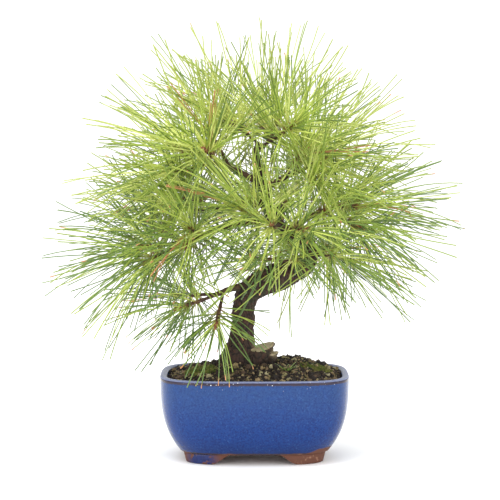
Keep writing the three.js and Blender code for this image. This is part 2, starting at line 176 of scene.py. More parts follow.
class Shape(Graph):
    """A geometry tree that takes a mesh and named values. start holds what it takes, by name."""

    def __init__(self, name, **kinds):
        super().__init__(bpy.data.node_groups.new(name, "GeometryNodeTree"))
        kinds = {"Geometry": "Geometry", **kinds}
        for label, kind in kinds.items():
            words = label.replace("_", " ")
            self.tree.interface.new_socket(words, in_out="INPUT", socket_type="NodeSocket" + kind)
        kind = "NodeSocketGeometry"
        self.tree.interface.new_socket("Geometry", in_out="OUTPUT", socket_type=kind)
        given = self.node("NodeGroupInput")
        self.start = {label: Value(self, given.outputs[label.replace("_", " ")]) for label in kinds}

    def named(self, name, kind="FLOAT"):
        """The values stored under a name."""
        settings = {"data_type": kind}
        return self.value("GeometryNodeInputNamedAttribute", settings, {"Name": name})

    def marked(self, geometry, name, value):
        """The geometry with a value stored on its points."""
        inputs = {"Geometry": geometry, "Name": name, "Value": value}
        return self.value("GeometryNodeStoreNamedAttribute", {"data_type": "FLOAT"}, inputs)

    def random(self, seed, low=0.0, high=1.0):
        """A random number for each point, or a random vector where low and high are vectors."""
        if isinstance(low, tuple):
            inputs = {"Min": low, "Max": high, "Seed": seed}
            return self.value("FunctionNodeRandomValue", {"data_type": "FLOAT_VECTOR"}, inputs)
        inputs = {2: low, 3: high, "Seed": seed}
        return self.value("FunctionNodeRandomValue", None, inputs, output=1)

    def scaled(self, vector, factor):
        inputs = {0: vector, "Scale": factor}
        return self.value("ShaderNodeVectorMath", {"operation": "SCALE"}, inputs)

    def placed(self, points, shape, rotation, scale, **more):
        """A copy of a shape on each point, as real faces."""
        inputs = {"Points": points, "Instance": shape, "Rotation": rotation, "Scale": scale}
        copies = self.value("GeometryNodeInstanceOnPoints", None, {**inputs, **more})
        return self.value("GeometryNodeRealizeInstances", None, {"Geometry": copies})

    def together(self, *parts):
        """Several geometries as one."""
        both = self.node("GeometryNodeJoinGeometry")
        for part in parts:
            self.tree.links.new(part.socket, both.inputs[0])
        return Value(self, both.outputs[0])

    def made_of(self, geometry, material):
        inputs = {"Geometry": geometry, "Material": material}
        return self.value("GeometryNodeSetMaterial", None, inputs)

    def end(self, geometry):
        """Makes a geometry the tree's result, and returns the tree."""
        self.node("NodeGroupOutput", None, {"Geometry": geometry})
        return self.tree


class Surface(Graph):
    """A material's graph, ending in one Principled shader."""

    def __init__(self, name, roughness=0.5, **constants):
        self.material = bpy.data.materials.new(name)
        self.material.use_nodes = True
        super().__init__(self.material.node_tree)
        self.tree.nodes.clear()
        self.shader = self.node("ShaderNodeBsdfPrincipled", inputs={"Roughness": roughness})
        for socket, constant in constants.items():
            self.shader.inputs[socket.replace("_", " ")].default_value = constant
        end = self.node("ShaderNodeOutputMaterial")
        self.tree.links.new(self.shader.outputs[0], end.inputs["Surface"])
        self.place = self.value("ShaderNodeTexCoord", output="Object")

    def feed(self, socket, value):
        self.tree.links.new(value.socket, self.shader.inputs[socket])

    def stretched(self, scale):
        return self.value(
            "ShaderNodeMapping", {"vector_type": "POINT"}, {"Vector": self.place, "Scale": scale}
        )

    def noise(self, scale, detail=3.0, place=None, roughness=0.55):
        inputs = {"Vector": place or self.place, "Scale": scale, "Detail": detail}
        return self.value("ShaderNodeTexNoise", None, {**inputs, "Roughness": roughness})

    def cells(self, scale, place=None):
        inputs = {"Vector": place or self.place, "Scale": scale}
        return self.value("ShaderNodeTexVoronoi", None, inputs)

    def height(self):
        split = self.node("ShaderNodeSeparateXYZ", None, {"Vector": self.place})
        return Value(self, split.outputs["Z"])

    def attribute(self, name):
        return self.value("ShaderNodeAttribute", {"attribute_name": name}, output="Fac")

    def between(self, value, low, high):
        """0 where value is below low and 1 above high, or the reverse if low is above high."""
        inputs = {"Value": value, "From Min": low, "From Max": high}
        return self.value("ShaderNodeMapRange", {"interpolation_type": "SMOOTHSTEP"}, inputs)

    def near(self, point, reach):
        """1 at a point of the object, falling to 0 at the given distance from it."""
        inputs = {0: self.place, 1: point}
        settings = {"operation": "DISTANCE"}
        apart = self.value("ShaderNodeVectorMath", settings, inputs, output="Value")
        return self.between(apart, reach, reach * 0.4)

    def mix(self, share, first, second):
        """The first colour where share is 0 and the second where it is 1."""
        inputs = {0: share, 6: first, 7: second}
        return self.value("ShaderNodeMix", {"data_type": "RGBA"}, inputs, output=2)

    def bump(self, height, depth, strength=1.0):
        inputs = {"Height": height, "Distance": depth, "Strength": strength}
        self.feed("Normal", self.value("ShaderNodeBump", None, inputs))


def new_mesh(label, points, faces):
    mesh = bpy.data.meshes.new(label)
    mesh.from_pydata([tuple(point) for point in points], [], faces)
    mesh.update()
    return mesh


def new_object(label, mesh):
    """An object of that mesh in the scene."""
    piece = bpy.data.objects.new(label, mesh)
    bpy.context.scene.collection.objects.link(piece)
    return piece


def finish_piece(piece, slot, *nodes):
    """Makes a piece part of the object: it rides on the body and stands for its CAD nodes."""
    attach(piece, "root")
    if nodes:
        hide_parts(*nodes)


def baked(piece):
    """Turns what a piece's modifiers make into its own plain mesh."""
    graph = bpy.context.evaluated_depsgraph_get()
    mesh = bpy.data.meshes.new_from_object(piece.evaluated_get(graph))
    rough = piece.data
    piece.modifiers.clear()
    piece.data = mesh
    mesh.name = piece.name
    bpy.data.meshes.remove(rough)
    return piece


def with_modifier(piece, kind, **settings):
    """Applies one modifier to a piece."""
    modifier = piece.modifiers.new(kind.title(), kind)
    for name, setting in settings.items():
        setattr(modifier, name, setting)
    return baked(piece)


def through_tree(piece, tree, **values):
    """Runs a piece's mesh through a geometry tree, with the tree's inputs given by name."""
    modifier = piece.modifiers.new("Nodes", "NODES")
    modifier.node_group = tree
    sockets = {item.name: item.identifier for item in tree.interface.items_tree}
    for name, value in values.items():
        modifier[sockets[name.replace("_", " ")]] = value
    return baked(piece)


def skin(rings, closed=True):
    """Points and faces of a row of rings, with a fan over each end when closed. Seen from the
    last ring, the points of a ring run anticlockwise."""
    count = len(rings[0])
    points = [point for ring in rings for point in ring]
    faces = []
    for ring in range(len(rings) - 1):
        for side in range(count):
            after = (side + 1) % count
            low, high = ring * count, (ring + 1) * count
            faces.append((low + side, low + after, high + after, high + side))
    if closed:
        for ring, flip in ((0, True), (len(rings) - 1, False)):
            middle = sum((Vector(point) for point in rings[ring]), Vector()) / count
            for side in range(count):
                pair = (ring * count + side, ring * count + (side + 1) % count)
                faces.append((len(points), *(pair[::-1] if flip else pair)))
            points.append(middle)
    return points, faces


def sides_of(axis):
    """Two directions across an axis."""
    side = axis.orthogonal().normalized()
    return side, axis.cross(side).normalized()


def tube(route, radii, sides, bulge=None):
    """Points and faces of a round tube along a route of points. bulge(ring, side) is a factor."""
    rings = []
    side, other = sides_of((route[1] - route[0]).normalized())
    for ring, centre in enumerate(route):
        ahead = route[min(ring + 1, len(route) - 1)] - route[max(ring - 1, 0)]
        ahead.normalize()
        side = (side - ahead * side.dot(ahead)).normalized()
        other = ahead.cross(side)
        points = []
        for k in range(sides):
            angle = 2 * math.pi * k / sides
            radius = radii[ring] * (bulge(ring, k) if bulge else 1)
            points.append(centre + (side * math.cos(angle) + other * math.sin(angle)) * radius)
        rings.append(points)
    return skin(rings)


def joined(parts):
    """Several (points, faces) as one."""
    points, faces = [], []
    for more_points, more_faces in parts:
        start = len(points)
        points += more_points
        faces += [tuple(start + corner for corner in face) for face in more_faces]
    return points, faces


def welded_copy(label, names):
    """One object from copies of CAD nodes, with the doubled points of each merged."""
    shape = bmesh.new()
    for name in names:
        shape.from_mesh(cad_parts[name].data)
    bmesh.ops.remove_doubles(shape, verts=shape.verts, dist=2e-6)
    mesh = bpy.data.meshes.new(label)
    shape.to_mesh(mesh)
    shape.free()
    mesh.materials.clear()
    return new_object(label, mesh)


def places(mesh):
    """The places of a mesh's points, one row each."""
    values = np.empty(len(mesh.vertices) * 3, np.float32)
    mesh.vertices.foreach_get("co", values)
    return values.reshape(-1, 3)


def normals(mesh):
    """The outward directions at a mesh's points, one row each."""
    values = np.empty(len(mesh.vertices) * 3, np.float32)
    mesh.vertex_normals.foreach_get("vector", values)
    return values.reshape(-1, 3)


def set_places(mesh, values):
    """Moves a mesh's points to new places."""
    mesh.vertices.foreach_set("co", np.asarray(values, np.float32).ravel())
    mesh.update()


def store(mesh, name, values, kind="FLOAT"):
    """Stores one value for each point under a name that materials and trees can read."""
    attribute = mesh.attributes.new(name, kind, "POINT")
    field = "vector" if kind == "FLOAT_VECTOR" else "value"
    attribute.data.foreach_set(field, np.asarray(values, np.float32).ravel())


def shade_smooth(mesh):
    mesh.polygons.foreach_set("use_smooth", [True] * len(mesh.polygons))


def solid_of(names):
    """A search tree over some CAD nodes, for ray casts and nearest points."""
    shape = bmesh.new()
    for name in names:
        shape.from_mesh(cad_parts[name].data)
    tree = BVHTree.FromBMesh(shape)
    shape.free()
    return tree


# ---------------------------------------------------------------- settings


def distance(label, text, value):
    return bpy.props.FloatProperty(name=label, description=text, default=value, unit="LENGTH")


def colour(label, text, red, green, blue):
    return bpy.props.FloatVectorProperty(
        name=label,
        description=text,
        default=srgb(red, green, blue)[:3],
        subtype="COLOR",
        size=3,
        min=0,
        max=1,
    )


def number(label, text, value, **limits):
    """A plain number property. limits are its least value or its subtype."""
    return bpy.props.FloatProperty(name=label, description=text, default=value, **limits)


def tilt(label, text, degrees):
    return number(label, text, math.radians(degrees), subtype="ANGLE")


class PotSettings(bpy.types.PropertyGroup):
    squareness: number("Squareness", "Plan outline: 2 is an ellipse", 3.8, min=2)
    base_inset: distance("Base inset", "How far the body's lowest edge stands in", 16 * MM)
    foot_height: distance("Foot height", "Ground to the underside", 8 * MM)
    wall: distance("Wall", "Thickness of the wall", 6 * MM)
    glaze: colour("Glaze", "Blue of the body", 8, 48, 110)
    glaze_rim: colour("Glaze at the rim", "Thin, paler glaze near the rim", 26, 58, 108)
    glaze_low: colour("Glaze low down", "Thick, darker glaze above the feet", 10, 38, 88)
    clay: colour("Clay", "Bare fired clay of the feet", 102, 64, 50)
    clay_edge: colour("Clay edge", "Brown where the glaze breaks over an edge", 50, 36, 34)


class SoilSettings(bpy.types.PropertyGroup):
    grain: distance("Grain size", "Middle size of a fine soil grain", 2.1 * MM)
    density: number("Grain density", "Fine grains per square metre", 260000, min=0)
    lump: distance("Lump size", "Middle size of a coarse lump", 4.6 * MM)
    lumps: number("Lump density", "Coarse lumps per square metre", 34000, min=0)
    dark: colour("Dark soil", "Damp soil between the grains", 20, 14, 11)
    brown: colour("Brown grains", "Most grains", 44, 32, 25)
    tan: colour("Tan grains", "A few dry grains", 154, 132, 96)


class MossSettings(bpy.types.PropertyGroup):
    frond: distance("Frond length", "Length of a moss frond", 1.9 * MM)
    green: colour("Moss green", "Fresh moss", 92, 108, 36)
    dry: colour("Dry moss", "Dry, yellowed moss", 132, 124, 66)


class WoodSettings(bpy.types.PropertyGroup):
    voxel: distance("Surface detail", "Size of the bark's mesh cells", 0.65 * MM)
    plate: distance("Bark plate", "Middle width of a bark plate", 3.4 * MM)
    relief: distance("Bark relief", "Height of the plates over the cracks", 0.9 * MM)
    bark: colour("Bark", "Weathered plates", 56, 42, 34)
    # Colour of the cracks: darker bark with painted shade.
    crack_and_shade: colour("Bark cracks", "Dark cracks between the plates", 18, 13, 11)
    red: colour("Red bark", "Warm inner bark under flaked plates", 74, 45, 33)
    sawn: colour("Sawn wood", "Faces of the old cuts", 196, 182, 150)


class NeedleSettings(bpy.types.PropertyGroup):
    radius: distance("Needle radius", "Half the width of a needle", 0.46 * MM)
    inner: number("Inner pairs", "Shorter pairs for each long one", 0.75, min=0)
    spread: tilt("Spread", "How far a pair turns away from its spike", 9)
    inner_spread: tilt("Inner spread", "How far a shorter pair turns away from its spike", 34)
    sag: number("Sag", "Droop as a share of the length", 0.16, min=0)
    # The tint picks between the old, middle and young greens; it is partly each needle's own tone
    # and partly painted light, lighter higher up.
    young: colour("Young needles", "Light yellow green", 234, 238, 152)
    middle: colour("Needles", "Mid green", 152, 178, 70)
    old: colour("Old needles", "Dark inner green", 58, 90, 34)
    # Painted shade: this colour darkens the outer part of each needle.
    tips: colour("Needle tips", "Deeper colour of the outer part", 122, 136, 44)
    dead: colour("Dead needles", "Dry tips and old needles", 178, 122, 82)
    bud: colour("Bud scales", "Pinkish tan scales", 178, 128, 92)


class StageSettings(bpy.types.PropertyGroup):
    distance: distance("Camera distance", "Camera to the pot's middle", 1.3)
    height: distance("Camera height", "Camera above the ground", 0.254)
    aim: distance("Aim height", "Height of the picture's middle", 0.1652)
    aside: distance("Aim to the left", "Picture's middle from the pot's", 3.6 * MM)
    lens: number("Lens", "Focal length", 118, subtype="DISTANCE_CAMERA")
    room: number("Room light", "All-round light", 1.35, min=0)
    top: number("Top light", "Overhead light", 22, subtype="POWER")
    front: number("Front light", "Light from each side of the camera", 6, subtype="POWER")


class BonsaiSettings(bpy.types.PropertyGroup):
    pot: bpy.props.PointerProperty(type=PotSettings)
    soil: bpy.props.PointerProperty(type=SoilSettings)
    moss: bpy.props.PointerProperty(type=MossSettings)
    wood: bpy.props.PointerProperty(type=WoodSettings)
    needles: bpy.props.PointerProperty(type=NeedleSettings)
    stage: bpy.props.PointerProperty(type=StageSettings)


# ---------------------------------------------------------------- pot


def pot_ring(pot, half_width, z, count):
    """A ring of the pot's rounded plan, in the part's frame. half_width is in metres."""
    size = POT_HIGH - POT_LOW
    half_depth = half_width - (size.x - size.y) / 2
    power = 2 / pot.squareness
    ring = []
    for k in range(count):
        angle = 2 * math.pi * (k + 0.5) / count
        across, along = math.cos(angle), math.sin(angle)
        x = math.copysign(abs(across) ** power, across) * half_width
        y = math.copysign(abs(along) ** power, along) * half_depth
        ring.append(Vector((POT_MIDDLE.x + x, POT_MIDDLE.y + y, z)))
    return ring


def even_ring(ring, count):
    """The same closed outline with its points at even distances."""
    loop = [*ring, ring[0]]
    steps = np.cumsum([0] + [(b - a).length for a, b in zip(loop, loop[1:])])
    wanted = np.linspace(0, steps[-1], count, endpoint=False)
    xyz = np.array(loop)
    return [Vector([np.interp(at, steps, xyz[:, axis]) for axis in range(3)]) for at in wanted]


def body_half_width(pot, z):
    """Half width of the pot's outside: it swells quickly above the feet, then stands up."""
    share = min(max((z - pot.foot_height) / (POT_HIGH.z - pot.foot_height), 0), 1)
    return (POT_HIGH.x - POT_LOW.x) / 2 - pot.base_inset * (1 - share) ** 3


def bracket(reach, half_span, ogee, top):
    """Height of a foot's lower edge at a distance from the middle of the gap between feet."""
    share = (half_span - reach) / ogee
    if share <= 0:
        return 0.0
    if share >= 1:
        return top
    return top * share * share * (3 - 2 * share)


def pot_shell(pot):
    """Body with its rolled lip, hollow and floor, as a closed skin."""
    top, low, floor = POT_HIGH.z, pot.foot_height, pot.foot_height + 4 * MM
    edge = (POT_HIGH.x - POT_LOW.x) / 2
    base = body_half_width(pot, low)
    profile = [(base - 4 * MM, low), (base - 1.2 * MM, low), (base - 0.3 * MM, low + 0.25 * MM)]
    for z in np.linspace(low + 1 * MM, top - 3 * MM, 30):
        profile.append((body_half_width(pot, z), z))
    lip = ((0, 2.1), (0.05, 1.4), (0.35, 0.75), (0.9, 0.25), (1.7, 0), (2.8, 0.02), (3.9, 0.2))
    lip += ((4.9, 0.6), (5.5, 1.2), (5.8, 2.0))
    profile += [(edge - inset * MM, top - drop * MM) for inset, drop in lip]
    for z in np.linspace(top - 3 * MM, floor + 3 * MM, 14):
        profile.append((body_half_width(pot, z) - pot.wall, z))
    hollow = body_half_width(pot, floor) - pot.wall
    profile += [(hollow - 2 * MM, floor + 0.8 * MM), (hollow - 5 * MM, floor)]
    rings = [even_ring(pot_ring(pot, half, z, 640), 220) for half, z in profile]
    return skin(rings)


def pot_feet(pot):
    """The foot ring under the body, cut away between its four corner feet. Its rings run down
    the inside, out across the ground faces and up the outside."""
    count = 420
    top = pot.foot_height + 0.8 * MM
    crest = pot.foot_height + 0.3 * MM
    outer = body_half_width(pot, 0) - 1 * MM
    middle = Vector((POT_MIDDLE.x, POT_MIDDLE.y, 0))

    def lowest(point):
        across, along = abs(point.x - POT_MIDDLE.x), abs(point.y - POT_MIDDLE.y)
        front = bracket(across, outer - FOOT_FRONT, OGEE_FRONT, crest)
        return max(front, bracket(along, outer - FOOT_SIDE, OGEE_SIDE, crest))

    outside = even_ring(pot_ring(pot, outer, 0, 1200), count)
    inside = even_ring(pot_ring(pot, outer - FOOT_WALL, 0, 1200), count)
    rings = []
    for share in (0, 0.3, 0.55, 0.8, 0.93):
        rings.append([Vector((p.x, p.y, top + (lowest(p) - top) * share)) for p in inside])
    for share in (0.08, 0.25, 0.5, 0.75, 0.92):
        spots = [near.lerp(far, share) for near, far in zip(inside, outside)]
        spots = [middle.lerp(spot, 1 - 0.03 * share) for spot in spots]
        rings.append([Vector((spot.x, spot.y, lowest(spot))) for spot in spots])
    for share in (0.07, 0.2, 0.45, 0.7, 1):
        ring = []
        for point in outside:
            low = lowest(point)
            spot = middle.lerp(point, 0.972 + 0.028 * share)
            ring.append(Vector((spot.x, spot.y, low + (top - low) * share)))
        rings.append(ring)
    return skin([*rings, rings[0]], closed=False)


def glaze_surface(pot):
    """Speckled blue glaze, thin and brown on the edges, and the bare clay of the feet."""
    paint = Surface("blue_glaze", Specular_IOR_Level=0.2, Coat_Weight=0.08, Coat_Roughness=0.05)
    height = paint.height()
    clouds = paint.noise(60, 4)
    top, low = POT_HIGH.z, pot.foot_height
    tone = paint.between(height + clouds * 0.02, top - 34 * MM, top + 6 * MM)
    blue = paint.mix(tone, colour_of(pot.glaze), colour_of(pot.glaze_rim))
    deep = paint.between(height + clouds * 0.018, low + 26 * MM, low + 6 * MM)
    blue = paint.mix(deep * 0.8, blue, colour_of(pot.glaze_low))
    dark_spots = paint.between(paint.noise(680, 2, roughness=0.7), 0.48, 0.58)
    blue = paint.mix(dark_spots * (0.75 - tone * 0.35), blue, srgb(4, 30, 84))
    pale_spots = paint.between(paint.noise(720, 3, paint.stretched((1.0, 1.0, 0.8))), 0.55, 0.72)
    blue = paint.mix(pale_spots * 0.35, blue, srgb(50, 88, 146))
    pools = paint.between(paint.noise(210, 3), 0.5, 0.68)
    blue = paint.mix(pools * 0.2, blue, srgb(20, 60, 126))
    ragged = paint.noise(380, 3)
    edge = paint.between(paint.attribute("edge") + (ragged - 0.5) * 0.7, 0.5, 0.72)
    body = paint.mix(edge * 0.85, blue, colour_of(pot.clay_edge))
    film = paint.between(paint.attribute("lip") + (ragged - 0.5) * 0.5, 0.45, 0.8)
    body = paint.mix(film * 0.8, body, srgb(122, 128, 158))
    lime = paint.between(paint.cells(420) + paint.noise(160, 2) * 0.35, 0.36, 0.26)
    under_rim = paint.between(height, top - 9 * MM, top - 2 * MM)
    crusted = paint.near(tuple(from_pot(-26, -56, 63)), 32 * MM)
    where = under_rim * crusted.most(paint.between(paint.noise(38, 2), 0.5, 0.58))
    body = paint.mix(lime * where * 0.75, body, srgb(222, 226, 232))
    pit = paint.near(tuple(from_pot(38.5, -56.4, 30)), 1.6 * MM)
    body = paint.mix(pit, body, srgb(84, 52, 34))
    drips = (paint.noise(70, 2) - 0.5) * 5 * MM
    worn = paint.near(tuple(from_pot(57, -32, 9)), 20 * MM) * 4.5 * MM
    bare = paint.between(height + drips - worn, low + 1.3 * MM, low + 0.1 * MM)
    left_foot = paint.near(tuple(from_pot(-44, -40, 3)), 19 * MM)
    splash = left_foot * paint.between(paint.noise(150, 3), 0.38, 0.46)
    bare = bare * (1 - splash * 0.9)
    inside = paint.attribute("inside")
    bare = bare.most(inside)
    grain = paint.noise(900, 4)
    clay = paint.mix(grain, colour_of(pot.clay), srgb(92, 62, 50))
    clay = paint.mix(paint.between(paint.noise(260, 2), 0.6, 0.72) * 0.5, clay, srgb(168, 128, 104))
    paint.feed("Base Color", paint.mix(bare, body, clay))
    gloss = 0.13 + paint.noise(240, 2) * 0.1 + film * 0.25 + lime * where * 0.3
    paint.feed("Roughness", gloss * (1 - bare) + bare * 0.85)
    relief = paint.noise(120, 2) * 0.5 + grain * bare * 0.4 - pit * 1.2 + pale_spots * 0.05
    paint.bump(relief, 0.5 * MM, 0.35)
    return paint.material


class BONSAI_OT_pot(bpy.types.Operator):
    """Makes the glazed pot with its rolled lip, bracket feet and drain holes"""

    bl_idname = "bonsai.pot"
    bl_label = "Pot"

    def execute(self, context):
        pot = context.scene.bonsai.pot
        piece = new_object("glazed_pot", new_mesh("glazed_pot", *pot_shell(pot)))
        for x in DRAIN_PLACES:
            hole = bmesh.new()
            rod = {"radius1": DRAIN_RADIUS, "radius2": DRAIN_RADIUS, "depth": 30 * MM}
            bmesh.ops.create_cone(hole, cap_ends=True, segments=48, **rod)
            bmesh.ops.translate(hole, verts=hole.verts, vec=from_pot(x, 0, 10))
            cutter = new_object("drain_cutter", bpy.data.meshes.new("drain_cutter"))
            hole.to_mesh(cutter.data)
            hole.free()
            with_modifier(piece, "BOOLEAN", operation="DIFFERENCE", object=cutter)
            bpy.data.objects.remove(cutter)
        feet = new_mesh("feet", *pot_feet(pot))
        whole = bmesh.new()
        whole.from_mesh(piece.data)
        whole.from_mesh(feet)
        bmesh.ops.remove_doubles(whole, verts=whole.verts, dist=1e-6)
        whole.to_mesh(piece.data)
        whole.free()
        bpy.data.meshes.remove(feet)
        mesh = piece.data
        shade_smooth(mesh)
        at = places(mesh)
        drop = (POT_HIGH.z - at[:, 2]) / MM
        half = np.array([body_half_width(pot, z) for z in at[:, 2]])
        size = POT_HIGH - POT_LOW
        x, y = np.abs(at[:, 0] - POT_MIDDLE.x), np.abs(at[:, 1] - POT_MIDDLE.y)
        n = pot.squareness
        half_depth = half - (size.x - size.y) / 2
        share = ((x / half) ** n + (y / half_depth) ** n) ** (1 / n)
        inset = (1 - share) * half / MM
        rim = smooth_step(1.6, 0.5, np.abs(drop - 2.1)) * smooth_step(2.0, 0.8, inset)
        above_feet = at[:, 2] / MM - pot.foot_height / MM
        low = smooth_step(2.0, 0.6, np.abs(above_feet - 0.9))
        store(mesh, "edge", np.maximum(rim, low))
        store(mesh, "lip", smooth_step(1.7, 0.6, drop))
        under = smooth_step(0.2, 0.0, above_feet)
        hollow = smooth_step(3.5, 6, drop) * (inset > 4)
        store(mesh, "inside", np.maximum(hollow, under * (share < 0.93)))
        mesh.materials.append(glaze_surface(pot))
        finish_piece(piece, "glaze", "pot")
        return {"FINISHED"}


# ---------------------------------------------------------------- drainage


class BONSAI_OT_drainage(bpy.types.Operator):
    """Gives the drain meshes and their wire clips their plastic and metal"""

    bl_idname = "bonsai.drainage"
    bl_label = "Drain meshes and clips"

    def execute(self, context):
        plastic = Surface("black_plastic_mesh")
        dust = plastic.between(plastic.noise(500, 3), 0.45, 0.75)
        plastic.feed("Base Color", plastic.mix(dust * 0.6, srgb(22, 22, 24), srgb(84, 72, 60)))
        plastic.feed("Roughness", 0.42 + dust * 0.4)
        plastic.bump(plastic.noise(1800, 3), 0.1 * MM, 0.5)
        wire = Surface("clip_wire", Metallic=1.0)
        stain = wire.noise(700, 4)
        wire.feed("Base Color", wire.mix(stain, srgb(200, 200, 204), srgb(132, 126, 120)))
        wire.feed("Roughness", 0.25 + stain * 0.35)
        wire.bump(wire.noise(2600, 2), 0.05 * MM, 0.4)
        for side in ("left", "right"):
            for kind, paint in (("drain_mesh_", plastic), ("mesh_clip_", wire)):
                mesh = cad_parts[kind + side].data
                mesh.materials.clear()
                mesh.materials.append(paint.material)
        return {"FINISHED"}


# ---------------------------------------------------------------- soil, moss and grass


def grain_tree():
    """Geometry tree: grains of irregular shape and size, scattered over a surface's top."""
    kinds = {"Grain_Size": "Float", "Density": "Float", "Seed": "Int", "Material": "Material"}
    tree = Shape("Soil grains", **kinds)
    start = tree.start
    seed, grain_size = start["Seed"], start["Grain_Size"]
    up = tree.node("ShaderNodeSeparateXYZ", None, {0: tree.value("GeometryNodeInputNormal")})
    upward = Value(tree, up.outputs["Z"]) > 0.35
    inputs = {"Mesh": start["Geometry"], "Selection": upward, "Density": start["Density"]}
    spots = tree.value("GeometryNodeDistributePointsOnFaces", None, {**inputs, "Seed": seed})
    spots = tree.marked(spots, "tint", tree.random(seed))
    grain = tree.value("GeometryNodeMeshIcoSphere", None, {"Radius": 0.5, "Subdivisions": 1})
    turn = tree.random(seed + 1, (0.0, 0.0, 0.0), (6.28, 6.28, 6.28))
    size = tree.random(seed + 2, (0.45, 0.45, 0.4), (1.5, 1.3, 1.1))
    grains = tree.placed(spots, grain, turn, tree.scaled(size, grain_size))
    lumps = tree.node("ShaderNodeTexNoise", None, {"Scale": 620.0, "Detail": 1.0})
    inputs = {0: Value(tree, lumps.outputs["Color"]), 1: (0.5, 0.5, 0.5)}
    shift = tree.value("ShaderNodeVectorMath", {"operation": "SUBTRACT"}, inputs)
    inputs = {"Geometry": grains, "Offset": tree.scaled(shift, grain_size)}
    rough = tree.value("GeometryNodeSetPosition", None, inputs)
    return tree.end(tree.made_of(rough, start["Material"]))


def soil_surface(soil):
    """Damp dark soil with brown and tan grains. A grain's tint picks its colour."""
    paint = Surface("gritty_soil", 0.9)
    tint = paint.attribute("tint")
    dark, brown, tan = colour_of(soil.dark), colour_of(soil.brown), colour_of(soil.tan)
    stops = ((0, dark), (0.3, brown), (0.5, srgb(30, 22, 17)), (0.64, srgb(84, 64, 46)), (0.8, tan))
    stops += ((0.9, srgb(112, 106, 62)), (1, srgb(172, 162, 126)))
    base = paint.value("ShaderNodeValToRGB", {"stops": stops}, {"Fac": tint})
    crumbs = paint.noise(1400, 4)
    base = paint.mix(paint.between(crumbs, 0.42, 0.7) * 0.6, base, dark)
    paint.feed("Base Color", base)
    paint.feed("Roughness", 0.7 + crumbs * 0.3)
    paint.bump(crumbs, 0.5 * MM, 0.8)
    return paint.material


class BONSAI_OT_soil(bpy.types.Operator):
    """Makes the crumbly soil with its loose grains"""

    bl_idname = "bonsai.soil"
    bl_label = "Soil"

    def execute(self, context):
        soil = context.scene.bonsai.soil
        paint = soil_surface(soil)
        bed = welded_copy("soil_bed", ["soil"])
        with_modifier(bed, "REMESH", mode="VOXEL", voxel_size=1.4 * MM)
        mesh = bed.data
        at, out = places(mesh), normals(mesh)
        on_top = smooth_step(0.3, 0.8, out[:, 2]) * smooth_step(50, 58, at[:, 2] / MM)
        lumps = np.array([noise.fractal(Vector(p) * 130, 1.0, 2.0, 3) for p in at])
        spot = from_pot(38, 12, 0)
        heap = np.exp(-((at[:, 0] - spot.x) ** 2 + (at[:, 1] - spot.y) ** 2) / (24 * MM) ** 2)
        set_places(mesh, at + out * ((lumps * 2.0 + heap * 4.5) * MM * on_top)[:, None])
        store(mesh, "tint", np.clip(0.1 + lumps * 0.2, 0, 0.3))
        shade_smooth(mesh)
        mesh.materials.append(paint)
        tree = grain_tree()
        moss = welded_copy("moss_top", ["moss_left", "moss_right"])
        for label, ground, size, density, seed in (
            ("soil_grains", bed, soil.grain, soil.density, 4),
            ("soil_lumps", bed, soil.lump, soil.lumps, 8),
            ("moss_grains", moss, soil.grain * 1.3, soil.density * 0.3, 12),
        ):
            loose = new_object(label, ground.data.copy())
            values = {"Grain_Size": size, "Density": density, "Seed": seed, "Material": paint}
            finish_piece(through_tree(loose, tree, **values), "soil")
        bpy.data.objects.remove(moss)
        finish_piece(bed, "soil", "soil")
        return {"FINISHED"}


def frond_tree():
    """Geometry tree: short pointed fronds standing on a surface."""
    kinds = {"Frond_Length": "Float", "Density": "Float", "Seed": "Int", "Material": "Material"}
    tree = Shape("Moss fronds", **kinds)
    start = tree.start
    seed, cushion = start["Seed"], start["Geometry"]
    inputs = {"Mesh": cushion, "Density": start["Density"], "Seed": seed}
    spread = tree.node("GeometryNodeDistributePointsOnFaces", None, inputs)
    spots = tree.marked(Value(tree, spread.outputs["Points"]), "tint", tree.random(seed))
    inputs = {"Vertices": 4, "Side Segments": 2, "Radius Top": 0.03, "Radius Bottom": 0.16}
    frond = tree.value("GeometryNodeMeshCone", None, {**inputs, "Depth": 1.0})
    lean = tree.random(seed + 1, (-0.8, -0.8, 0.0), (0.8, 0.8, 6.28))
    inputs = {"Rotation": Value(tree, spread.outputs["Rotation"]), "Rotate By": lean}
    turned = tree.value("FunctionNodeRotateRotation", {"rotation_space": "LOCAL"}, inputs)
    size = tree.random(9, 0.5, 1.25) * start["Frond_Length"]
    fronds = tree.placed(spots, frond, turned, size)
    return tree.end(tree.made_of(tree.together(fronds, cushion), start["Material"]))


class BONSAI_OT_moss(bpy.types.Operator):
    """Makes the moss cushions with their fronds"""

    bl_idname = "bonsai.moss"
    bl_label = "Moss"

    def execute(self, context):
        moss = context.scene.bonsai.moss
        paint = Surface("cushion_moss", 0.9)
        mottle = paint.noise(260, 4)
        green = paint.mix(paint.attribute("tint"), colour_of(moss.green), srgb(64, 82, 26))
        dry = paint.between(mottle, 0.42, 0.66)
        paint.feed("Base Color", paint.mix(dry * 0.8, green, colour_of(moss.dry)))
        paint.bump(paint.noise(900, 3), 0.6 * MM, 0.8)
        tree = frond_tree()
        for seed, side in enumerate(("left", "right")):
            node = "moss_" + side
            cushion = welded_copy("moss_cushion_" + side, [node])
            with_modifier(cushion, "REMESH", mode="VOXEL", voxel_size=1.1 * MM)
            mesh = cushion.data
            at, out = places(mesh), normals(mesh)
            lumps = np.array([noise.fractal(Vector(p) * 240, 1.0, 2.0, 3) for p in at])
            set_places(mesh, at + out * (lumps * 1.0 * MM)[:, None])
            store(mesh, "tint", np.clip(0.5 + lumps * 0.5, 0, 1))
            shade_smooth(mesh)
            values = {"Frond_Length": moss.frond, "Density": 2600000.0, "Seed": seed}
            through_tree(cushion, tree, **values, Material=paint.material)
            finish_piece(cushion, "moss", node)
        return {"FINISHED"}


